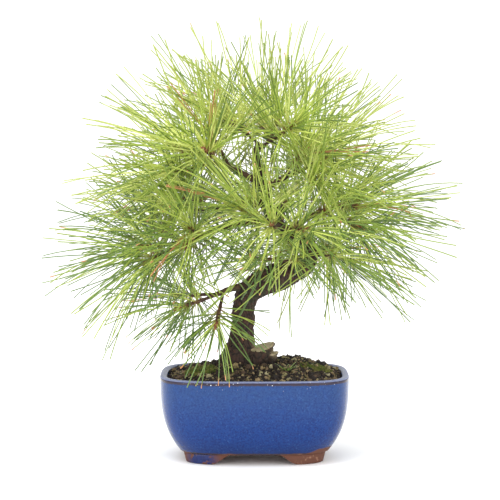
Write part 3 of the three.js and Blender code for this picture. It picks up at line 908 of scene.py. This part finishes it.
def leaf_blade(base, heading, length, width, droop):
    """A flat grass blade with a raised middle rib, thick enough to be a closed shape."""
    across = heading.cross(Vector((0, 0, 1))).normalized()
    rings = []
    for share in np.linspace(0, 1, 9):
        middle = base + heading * length * share - Vector((0, 0, droop * share**2))
        half = width * (0.35 + 1.5 * share) * (1 - share) ** 0.7 + 0.06 * MM
        over = heading.cross(across) * -0.25 * half - Vector((0, 0, 0.1 * MM))
        rim = [middle - across * half, middle + over, middle + across * half, middle - over]
        rings.append(rim)
    return skin(rings)


class BONSAI_OT_grass(bpy.types.Operator):
    """Makes the sprig of grass that seeded itself in the soil"""

    bl_idname = "bonsai.grass"
    bl_label = "Grass sprig"

    def execute(self, context):
        low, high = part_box("grass_sprig")
        base = Vector(((low.x + high.x) / 2, (low.y + high.y) / 2, low.z - 0.5 * MM))
        chance = random.Random(11)
        blades = []
        for k in range(13):
            turn = k * 2.4 + chance.uniform(-0.3, 0.3)
            rise = chance.uniform(0.25, 1.0)
            heading = Vector((math.cos(turn), math.sin(turn), rise)).normalized()
            length = chance.uniform(9, 14.5) * MM
            blades.append(leaf_blade(base, heading, length, 0.8 * MM, chance.uniform(1, 4) * MM))
        piece = new_object("grass_blades", new_mesh("grass_blades", *joined(blades)))
        shade_smooth(piece.data)
        paint = Surface("grass_green", 0.5)
        streak = paint.noise(400, 3)
        paint.feed("Base Color", paint.mix(streak, srgb(86, 120, 44), srgb(150, 172, 92)))
        paint.bump(paint.noise(1500, 2), 0.2 * MM, 0.4)
        piece.data.materials.append(paint.material)
        finish_piece(piece, "moss", "grass_sprig")
        return {"FINISHED"}


# ---------------------------------------------------------------- trunk and branches

CUTS = (  # middle of each sawn face from the pot's middle, its outward direction and its radius
    ((6.3, -7, 88.8), (-0.28, -0.18, 0.94), 9.2),
    ((14.3, -9, 83.7), (-0.28, -0.18, 0.94), 4.6),
)


def bark_surface(wood):
    """Plates of weathered bark over dark cracks with painted shade in them, redder where they
    flaked, darkened with painted shade towards the soil, and the sawn faces.
    """
    paint = Surface("old_bark")
    plates = paint.attribute("plate")
    crumble = paint.noise(900, 5, roughness=0.7)
    flecks = paint.noise(260, 4)
    tone = paint.mix(paint.between(flecks, 0.35, 0.7), colour_of(wood.bark), colour_of(wood.red))
    tone = paint.mix(paint.between(crumble, 0.54, 0.75) * 0.45, tone, srgb(104, 84, 68))
    # Painted shade: the cracks between the plates are coloured near black, darker bark with painted
    # shade on top.
    crack_and_shade = paint.between(plates + (crumble - 0.5) * 0.35, 0.34, 0.12)
    tone = paint.mix(crack_and_shade * 0.9, tone, colour_of(wood.crack_and_shade))
    thin = paint.attribute("twig")
    scales = paint.between(paint.noise(520, 3), 0.4, 0.65)
    scaly = paint.mix(scales, srgb(98, 72, 50), srgb(56, 41, 31))
    tone = paint.mix(thin * 0.75, tone, scaly)
    algae = paint.attribute("shade") * paint.between(paint.noise(120, 3), 0.4, 0.62)
    tone = paint.mix(algae * 0.55, tone, srgb(56, 62, 42))
    # Painted shade: the bark is painted darker towards the soil.
    shade_near_soil = paint.between(paint.height(), POT_HIGH.z + 24 * MM, POT_HIGH.z + 2 * MM)
    tone = paint.mix(shade_near_soil * 0.6, tone, srgb(26, 19, 16))
    for middle, _, reach in CUTS:
        dry = paint.near(tuple(from_pot(*middle)), (reach + 1.5) * MM)
        tone = paint.mix(dry * paint.between(crumble, 0.36, 0.5) * 0.75, tone, srgb(150, 138, 108))
    rings = (paint.attribute("radius") * 9 + paint.noise(90, 2) * 2).math("SINE")
    sawn = paint.mix(rings * 0.25 + 0.3, colour_of(wood.sawn), srgb(150, 126, 92))
    stain = paint.between(paint.noise(170, 4), 0.5, 0.7)
    sawn = paint.mix(stain * 0.35, sawn, srgb(136, 130, 96))
    paint.feed("Base Color", paint.mix(paint.attribute("cut"), tone, sawn))
    paint.feed("Roughness", 0.72 + crumble * 0.25)
    paint.bump(crumble + flecks * 0.5, 0.6 * MM, 0.9)
    return paint.material


def plate_heights(at, size):
    """How far each point is up on its bark plate: 0 in the cracks and 1 on the plates."""
    heights = np.empty(len(at))
    for index, point in enumerate(at):
        place = Vector(point) / size
        warp = noise.noise_vector(place * 0.7) * 0.55
        place = Vector((place.x, place.y, place.z * 0.62)) + warp
        near, _ = noise.voronoi(place)
        heights[index] = near[1] - near[0]
    return smooth_step(0.02, 0.34, heights)


class BONSAI_OT_wood(bpy.types.Operator):
    """Makes the trunk and its branches as one skin of bark, with the faces of its old cuts"""

    bl_idname = "bonsai.wood"
    bl_label = "Trunk and branches"

    def execute(self, context):
        wood = context.scene.bonsai.wood
        piece = welded_copy("trunk_and_branches", WOODEN)
        with_modifier(piece, "REMESH", mode="VOXEL", voxel_size=wood.voxel)
        with_modifier(piece, "SMOOTH", factor=0.5, iterations=3)
        mesh = piece.data
        at, out = places(mesh), normals(mesh)
        trunk = solid_of(["trunk"])
        apart = np.array([trunk.find_nearest(Vector(p))[3] for p in at]) / MM
        twig = smooth_step(0.8, 4.0, apart)
        cut, radius = np.zeros(len(at)), np.zeros(len(at))
        for middle, heading, reach in CUTS:
            axis = np.array(Vector(heading).normalized())
            away = at - np.array(from_pot(*middle))
            along = away @ axis / MM
            aside = np.linalg.norm(away - np.outer(away @ axis, axis), axis=1) / MM
            face = (np.abs(along) < 1.3) & (aside < reach + 0.6) & (out @ axis > 0.55)
            cut[face] = 1
            radius = np.where(face, aside, radius)
        plates = plate_heights(at, wood.plate)
        swells = np.array([noise.fractal(Vector(p) * 75, 1.0, 2.0, 2) for p in at])
        knots = np.array([noise.fractal(Vector(p) * 420, 1.0, 2.0, 2) for p in at])
        thick = 1 - twig * 0.8
        lift = (plates - 0.6) * wood.relief * thick + swells * 1.5 * MM * thick + knots * 0.25 * MM
        lift = np.where(cut > 0, knots * 0.1 * MM, lift)
        set_places(mesh, at + out * lift[:, None])
        store(mesh, "plate", plates)
        store(mesh, "twig", twig)
        store(mesh, "cut", cut)
        store(mesh, "radius", radius)
        store(mesh, "shade", smooth_step(0.2, -0.5, out[:, 2]))
        shade_smooth(mesh)
        mesh.materials.append(bark_surface(wood))
        finish_piece(piece, "bark", *WOODEN)
        return {"FINISHED"}


# ---------------------------------------------------------------- needle tufts


def needle_tree():
    """Geometry tree: a needle on each marked point, bent over its length. A point's aim is its
    needle's tip from its foot, and its bend is how far the tip sags."""
    kinds = {"Needle_Radius": "Float", "Rings": "Int", "Sides": "Int"}
    tree = Shape("Needle tuft", **kinds, Needle_Material="Material", Shoot_Material="Material")
    start = tree.start
    is_needle = tree.named("is_needle") > 0.5
    line = tree.value("GeometryNodeCurvePrimitiveLine", None, {"End": (0, 0, 1)})
    inputs = {"Curve": line, "Count": start["Rings"]}
    line = tree.value("GeometryNodeResampleCurve", None, inputs)
    along = tree.value("GeometryNodeSplineParameter")
    sheath = (1 - along * 9).most(0.0) * 0.5
    taper = (1 - along**5 * 0.92) * (1 + sheath)
    line = tree.value("GeometryNodeSetCurveRadius", None, {"Curve": line, "Radius": taper})
    inputs = {"Resolution": start["Sides"], "Radius": 1.0}
    section = tree.value("GeometryNodeCurvePrimitiveCircle", None, inputs)
    inputs = {"Curve": line, "Profile Curve": section, "Fill Caps": True}
    needle = tree.value("GeometryNodeCurveToMesh", None, inputs)
    spot = tree.node("ShaderNodeSeparateXYZ", None, {0: tree.value("GeometryNodeInputPosition")})
    needle = tree.marked(needle, "along", Value(tree, spot.outputs["Z"]))
    aim = tree.named("aim", "FLOAT_VECTOR")
    length = tree.value("ShaderNodeVectorMath", {"operation": "LENGTH"}, {0: aim}, output="Value")
    width = tree.named("width") * start["Needle_Radius"]
    scale = tree.value("ShaderNodeCombineXYZ", None, {"X": width, "Y": width, "Z": length})
    turn = tree.value("FunctionNodeAlignRotationToVector", {"axis": "Z"}, {"Vector": aim})
    needles = tree.placed(start["Geometry"], needle, turn, scale, Selection=is_needle)
    reach = tree.named("along")
    offset = tree.scaled(tree.named("bend", "FLOAT_VECTOR"), reach * reach - reach)
    inputs = {"Geometry": needles, "Offset": offset}
    bent = tree.value("GeometryNodeSetPosition", None, inputs)
    green = tree.made_of(bent, start["Needle_Material"])
    inputs = {"Geometry": start["Geometry"], "Selection": is_needle}
    shoot = tree.value("GeometryNodeDeleteGeometry", {"domain": "POINT"}, inputs)
    whole = tree.together(green, tree.made_of(shoot, start["Shoot_Material"]))
    return tree.end(tree.value("GeometryNodeSetShadeSmooth", None, {"Geometry": whole}))


def needle_surface(needles):
    """Green that varies from needle to needle, partly as painted light (lighter higher up), with
    painted shade darkening the outer part, a tan sheath at the foot and some dry tips.
    """
    paint = Surface("pine_needles", 0.38, Specular_IOR_Level=0.5)
    tint, along, dry = paint.attribute("tint"), paint.attribute("along"), paint.attribute("dry")
    # The tint carries painted light as well as each needle's own tone: it is higher for needles
    # higher up.
    stops = (
        (0.1, colour_of(needles.old)),
        (0.42, colour_of(needles.middle)),
        (0.72, srgb(204, 218, 104)),
        (1.0, colour_of(needles.young)),
    )
    green = paint.value("ShaderNodeValToRGB", {"stops": stops}, {"Fac": tint})
    # Painted shade: the outer part of each needle is painted darker, deep green or olive by its
    # tint.
    outer = paint.mix(paint.between(tint, 0.1, 0.9), srgb(54, 88, 34), colour_of(needles.tips))
    green = paint.mix(paint.between(along, 0.25, 0.85) * 0.82, green, outer)
    mottled = paint.noise(300, 3)
    green = paint.mix(mottled * 0.2, green, srgb(184, 200, 100))
    pale_foot = paint.between(along, 0.3, 0.06)
    green = paint.mix(pale_foot * 0.4, green, srgb(220, 216, 124))
    sheath = paint.between(along, 0.09, 0.05)
    green = paint.mix(sheath * 0.85, green, srgb(138, 104, 74))
    dead = paint.between(along + dry, 0.99, 1.06)
    paint.feed("Base Color", paint.mix(dead, green, colour_of(needles.dead)))
    return paint.material


def shoot_surface(needles):
    """Brown scales on the shoot and pinkish tan ones on its bud."""
    paint = Surface("shoot_scales", 0.6)
    scales = paint.cells(700, place=paint.stretched((1.0, 1.0, 0.7)))
    brown = paint.mix(paint.between(scales, 0.2, 0.6), srgb(116, 84, 56), srgb(70, 48, 36))
    bud = paint.attribute("bud")
    tips = paint.mix(paint.between(scales, 0.25, 0.6), colour_of(needles.bud), srgb(128, 78, 56))
    paint.feed("Base Color", paint.mix(bud, brown, tips))
    return paint.material


def tuft_layout(name):
    """Foot, axis and length of a tuft's shoot, and its spikes' tips, from its CAD node."""
    at = np.unique(np.round(places(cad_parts[name].data), 6), axis=0)
    centre = np.median(at, axis=0)
    apart = np.linalg.norm(at - centre, axis=1)
    core, tips = at[apart < 14 * MM], at[apart > 25 * MM]
    centre = core.mean(axis=0)
    axis = np.linalg.svd(core - centre, full_matrices=False)[2][0]
    if (tips.mean(axis=0) - centre) @ axis < 0:
        axis = -axis
    along = (core - centre) @ axis
    base = centre + axis * along.min()
    return Vector(base), Vector(axis), along.max() - along.min(), [Vector(tip) for tip in tips]


def shoot_stem(base, axis, length, chance):
    """The scaly shoot, with a pointed bud at its tip, and the number of its rings."""
    heights = [*np.linspace(-2.5 * MM, length, SHOOT_RINGS)]
    radii = [1.5 * MM] * SHOOT_RINGS
    bud = chance.uniform(7, 13) * MM
    fat = chance.uniform(1.5, 2.2) * MM
    for share in np.linspace(0.08, 1, 9):
        heights.append(length + bud * share)
        radii.append(fat * math.sin(math.pi * (0.22 + 0.78 * share)) + 0.15 * MM)
    route = [base + axis * height for height in heights]

    def bulge(ring, side):
        return 1 + 0.16 * math.sin(ring * 2.4 + side * math.pi * 2 / 3)

    return tube(route, radii, SHOOT_SIDES, bulge), len(heights)


class BONSAI_OT_needles(bpy.types.Operator):
    """Makes the needle tufts: paired needles with sheaths, growing from scaly shoots"""

    bl_idname = "bonsai.needles"
    bl_label = "Needle tufts"

    def execute(self, context):
        needles = context.scene.bonsai.needles
        tree = needle_tree()
        green, scaly = needle_surface(needles), shoot_surface(needles)
        blocks = solid_of(["pot", "soil", "trunk"])
        for index, name in enumerate(TUFTS):
            chance = random.Random(100 + index)
            base, axis, length, tips = tuft_layout(name)
            (points, faces), rings = shoot_stem(base, axis, length, chance)
            stem = len(points)
            bud = [0.0] * stem
            first, last = SHOOT_RINGS * SHOOT_SIDES, rings * SHOOT_SIDES
            bud[first:last] = [1.0] * (last - first)
            bud[-1] = 1.0
            vigour = chance.uniform(-0.12, 0.12)
            marks = {"aim": [], "bend": [], "tint": [], "dry": [], "width": []}
            sparse, crown = name.startswith(SPARSE_TUFTS), name.startswith(CROWN_TUFTS)
            for tip in tips:
                extra = 0 if sparse else int(needles.inner + crown * 0.7 + chance.random())
                for inner in (False, *[True] * extra):
                    pair = (base, axis, length, tip, inner, vigour)
                    self.add_pair(needles, chance, blocks, pair, points, marks)
            mesh = new_mesh(name, points, faces)
            count = len(points) - stem
            for mark in ("aim", "bend"):
                store(mesh, mark, [(0.0, 0.0, 0.0)] * stem + marks[mark], "FLOAT_VECTOR")
            for mark in ("tint", "dry", "width"):
                store(mesh, mark, [0.0] * stem + marks[mark])
            store(mesh, "bud", bud + [0.0] * count)
            store(mesh, "is_needle", [0.0] * stem + [1.0] * count)
            piece = new_object(name.replace("needles", "tuft"), mesh)
            values = {"Needle_Radius": needles.radius, "Rings": 9, "Sides": 5}
            values |= {"Needle_Material": green, "Shoot_Material": scaly}
            finish_piece(through_tree(piece, tree, **values), "needles", name)
        return {"FINISHED"}

    def add_pair(self, needles, chance, blocks, pair, points, marks):
        """Adds two needles that leave the shoot together, near one spike's direction: a point
        for each, and its marks, which the geometry tree reads."""
        base, axis, length, tip, inner, vigour = pair
        middle = base + axis * length / 2
        open_angle = (tip - middle).angle(axis)
        share = min(max((math.radians(84) - open_angle) / math.radians(74), 0), 1)
        foot = base + axis * length * min(max(share + chance.uniform(-0.15, 0.15), 0.02), 0.98)
        straight = tip - foot
        side, other = sides_of(straight.normalized())
        turn = chance.uniform(0, 2 * math.pi)
        lean = (needles.inner_spread if inner else needles.spread) * math.sqrt(chance.random())
        aside = side * math.cos(turn) + other * math.sin(turn)
        heading = straight.normalized() + aside * math.tan(lean)
        if inner:
            heading -= axis * chance.uniform(-0.2, 1.0)
        heading.normalize()
        reach = straight.length * chance.uniform(*((0.5, 0.85) if inner else (0.8, 1.03)))
        # Painted light: besides each needle's own tone, random and by tuft, the tint rises with
        # height, so needles higher up are painted lighter as if lit from above; inner pairs are a
        # little darker.
        height = (foot.z + tip.z) / 2 - 0.2
        shade = 0.5 + vigour + chance.uniform(-0.42, 0.42) + height * 2.6 - 0.12 * inner
        dead = chance.random() < 0.01
        for twin in (-1, 1):
            apart = side * math.cos(turn * 2) + other * math.sin(turn * 2)
            leaf = (heading + apart * twin * chance.uniform(0.02, 0.08)).normalized()
            far = leaf * reach * chance.uniform(0.94, 1.0)
            hit = blocks.ray_cast(foot + leaf * 6 * MM, leaf, far.length)
            if hit[0] is not None:
                continue
            flat = math.sqrt(max(0, 1 - leaf.z**2))
            sag = Vector((0, 0, -1)) * reach * needles.sag * flat * chance.uniform(0.2, 1.6)
            sway = Vector([chance.uniform(-1, 1) for _ in range(3)]) * reach * 0.14
            points.append(foot + leaf.orthogonal().normalized() * 0.6 * MM)
            marks["aim"].append(tuple(far))
            marks["bend"].append(tuple(sag + sway))
            marks["tint"].append(min(max(shade + chance.uniform(-0.06, 0.06), 0), 1))
            often = 0.6 if leaf.z < -0.35 and foot.z < 0.135 else 0.06
            tip_dry = chance.uniform(0.01, 0.1) if chance.random() < often else 0.0
            marks["dry"].append(1.0 if dead else tip_dry)
            marks["width"].append(chance.uniform(0.8, 1.12))


# ---------------------------------------------------------------- stage


def area_light(label, place, target, size, power):
    """A round soft light at a place, facing its target."""
    lamp = bpy.data.lights.new(label, "AREA")
    lamp.shape = "DISK"
    lamp.size = size
    lamp.energy = power
    holder = bpy.data.objects.new(label, lamp)
    bpy.context.scene.collection.objects.link(holder)
    holder.location = place
    holder.rotation_euler = (target - place).to_track_quat("-Z", "Y").to_euler()


class BONSAI_OT_stage(bpy.types.Operator):
    """Sets the pale floor, the soft lights and the camera"""

    bl_idname = "bonsai.stage"
    bl_label = "Floor, lights and camera"

    def execute(self, context):
        stage = context.scene.bonsai.stage
        angles = np.linspace(0, 2 * math.pi, 65)[:-1]
        ring = [Vector((math.cos(angle), math.sin(angle), 0)) * FLOOR_RADIUS for angle in angles]
        floor = new_object("floor", new_mesh("floor", ring, [tuple(range(64))]))
        paint = Surface("pale_floor", 0.7)
        faint = paint.noise(3, 2)
        paint.feed("Base Color", paint.mix(faint * 0.2, srgb(255, 255, 255), srgb(246, 247, 250)))
        floor.data.materials.append(paint.material)
        world = bpy.data.worlds.new("white_room")
        context.scene.world = world
        world.use_nodes = True
        sky = world.node_tree.nodes["Background"]
        sky.inputs["Color"].default_value = (1, 1, 1, 1)
        sky.inputs["Strength"].default_value = stage.room
        middle = Vector((POT_MIDDLE.x, POT_MIDDLE.y, 0.16))
        area_light("top_light", middle + Vector((-0.25, -0.35, 1.3)), middle, 1.1, stage.top)
        for side in (-1, 1):
            place = middle + Vector((side * 1.1, -1.2, 0.35))
            area_light("front_light", place, middle, 1.0, stage.front)
        lens = bpy.data.cameras.new("camera")
        lens.lens = stage.lens
        lens.sensor_width = 36
        camera = bpy.data.objects.new("camera", lens)
        context.scene.collection.objects.link(camera)
        x = POT_MIDDLE.x - stage.aside
        camera.location = (x, POT_MIDDLE.y - stage.distance, stage.height)
        target = Vector((x, POT_MIDDLE.y, stage.aim))
        camera.rotation_euler = (target - camera.location).to_track_quat("-Z", "Y").to_euler()
        context.scene.camera = camera
        context.scene.view_settings.view_transform = "Standard"
        return {"FINISHED"}


# ---------------------------------------------------------------- panel

OPERATORS = (
    BONSAI_OT_pot,
    BONSAI_OT_drainage,
    BONSAI_OT_soil,
    BONSAI_OT_moss,
    BONSAI_OT_grass,
    BONSAI_OT_wood,
    BONSAI_OT_needles,
    BONSAI_OT_stage,
)
SETTINGS = (
    PotSettings,
    SoilSettings,
    MossSettings,
    WoodSettings,
    NeedleSettings,
    StageSettings,
    BonsaiSettings,
)


class BONSAI_PT_panel(bpy.types.Panel):
    bl_idname = "BONSAI_PT_panel"
    bl_label = "Pine bonsai"
    bl_space_type = "VIEW_3D"
    bl_region_type = "UI"
    bl_category = "Bonsai"

    def draw(self, context):
        for operator in OPERATORS:
            self.layout.operator(operator.bl_idname)
        for group in ("pot", "soil", "moss", "wood", "needles", "stage"):
            box = self.layout.box()
            box.label(text=group.title())
            settings = getattr(context.scene.bonsai, group)
            for name in settings.bl_rna.properties.keys():
                if name not in ("rna_type", "name"):
                    box.prop(settings, name)


def register():
    for kind in (*SETTINGS, *OPERATORS, BONSAI_PT_panel):
        bpy.utils.register_class(kind)
    bpy.types.Scene.bonsai = bpy.props.PointerProperty(type=BonsaiSettings)


def unregister():
    del bpy.types.Scene.bonsai
    for kind in reversed((*SETTINGS, *OPERATORS, BONSAI_PT_panel)):
        bpy.utils.unregister_class(kind)


def main():
    register()
    bpy.ops.bonsai.pot()
    bpy.ops.bonsai.drainage()
    bpy.ops.bonsai.soil()
    bpy.ops.bonsai.moss()
    bpy.ops.bonsai.grass()
    bpy.ops.bonsai.wood()
    bpy.ops.bonsai.needles()
    bpy.ops.bonsai.stage()


if __name__ == "__main__":
    main()
